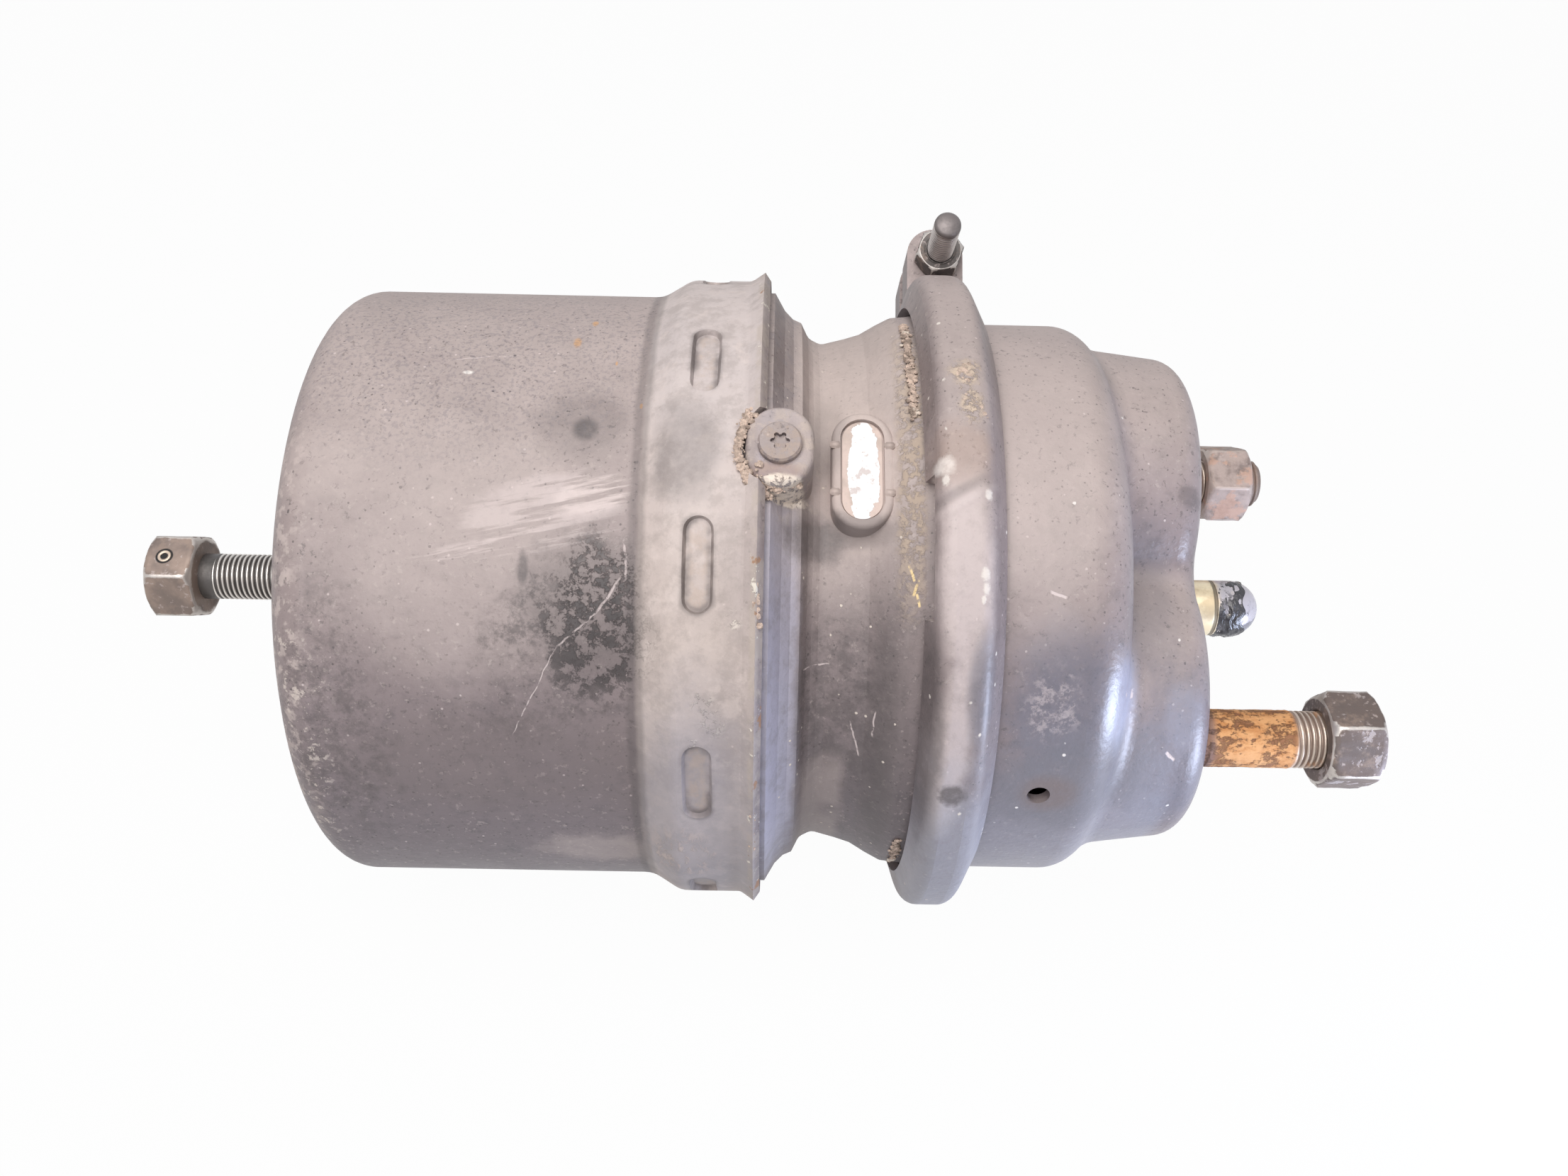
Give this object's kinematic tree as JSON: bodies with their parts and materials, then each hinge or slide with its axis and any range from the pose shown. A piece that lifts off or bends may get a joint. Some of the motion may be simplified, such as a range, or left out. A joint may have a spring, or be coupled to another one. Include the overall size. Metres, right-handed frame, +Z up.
{
  "type": "air brake chamber",
  "caption": "Spring brake actuator for a disc brake: diaphragm chamber, clamp ring, cast flange and spring chamber with wound-out release screw, threaded mounting studs and ball-ended pushrod.",
  "frame": {"origin": "centre of the stud circle on the mounting face", "axes": "+X along the pushrod, the way it travels when the brake is applied; the two studs stand on the Y axis; +Z up"},
  "size_m": [0.3533, 0.1907, 0.194],
  "materials": {
    "black_paint": "worn black paint under pale road dust",
    "cast_paint": "painted aluminium casting, dusty",
    "bare_aluminium": "machined",
    "dark_steel": "phosphated dark steel",
    "rusty_steel": "steel with flaky orange rust",
    "spring_steel": "coated spring steel",
    "plain_steel": "plain steel",
    "zinc": "yellow zinc plated",
    "rubber": "matt black rubber",
    "guide_plastic": "natural plastic",
    "label_plate": "bare dirty plate"
  },
  "bodies": {
    "chamber": {"spring_housing": "black_paint", "release_bush": "plain_steel", "power_spring": "spring_steel", "flange_housing": "cast_paint", "flange_o_ring": "rubber", "tube_guide_bush": "guide_plastic", "tube_seal_front": "rubber", "tube_seal_rear": "rubber", "seal_circlip": "spring_steel", "lock_screw": "dark_steel", "nameplate": "label_plate", "clamp_ring": "black_paint", "clamp_bolt": "dark_steel", "clamp_nut": "dark_steel", "diaphragm": "rubber", "return_spring": "spring_steel", "front_housing": "black_paint", "mounting_studs": "rusty_steel", "stud_plate": "plain_steel", "stud_nuts": "dark_steel", "bellows": "rubber", "bellows_clip": "spring_steel"},
    "pushrod_assembly": {"push_plate": "plain_steel", "pushrod": "zinc", "rod_end": "zinc"},
    "piston_assembly": {"piston": "bare_aluminium", "piston_tube": "plain_steel", "tube_end_plug": "guide_plastic", "piston_seal": "rubber", "piston_guide_ring": "guide_plastic"},
    "release_carriage": {"thrust_ring": "plain_steel"},
    "release_screw_assembly": {"release_screw": "dark_steel", "release_hex": "dark_steel", "hex_pin": "dark_steel", "retaining_ring": "spring_steel"}
  },
  "joints": [
    {"name": "pushrod_travel", "type": "slide", "parent": "chamber", "child": "pushrod_assembly", "axis": [1, 0, 0], "range_m": [0, 0.057], "stiffness_N_per_m": 600, "springref_m": -0.012, "deforming": ["diaphragm", "return_spring", "bellows"]},
    {"name": "piston_float", "type": "slide", "parent": "chamber", "child": "piston_assembly", "axis": [1, 0, 0], "range_m": [-0.0025, 0], "deforming": ["power_spring"]},
    {"name": "release_travel", "type": "slide", "parent": "chamber", "child": "release_carriage", "axis": [1, 0, 0], "range_m": [0, 0.0391]},
    {"name": "release_spin", "type": "hinge", "parent": "release_carriage", "child": "release_screw_assembly", "pos_m": [-0.18, 0, 0], "axis": [1, 0, 0], "range_deg": [0, 9384.1]}
  ],
  "couplings": [
    {"joint": "release_spin", "follows": "release_travel", "rad_per_m": 4188.8}
  ]
}
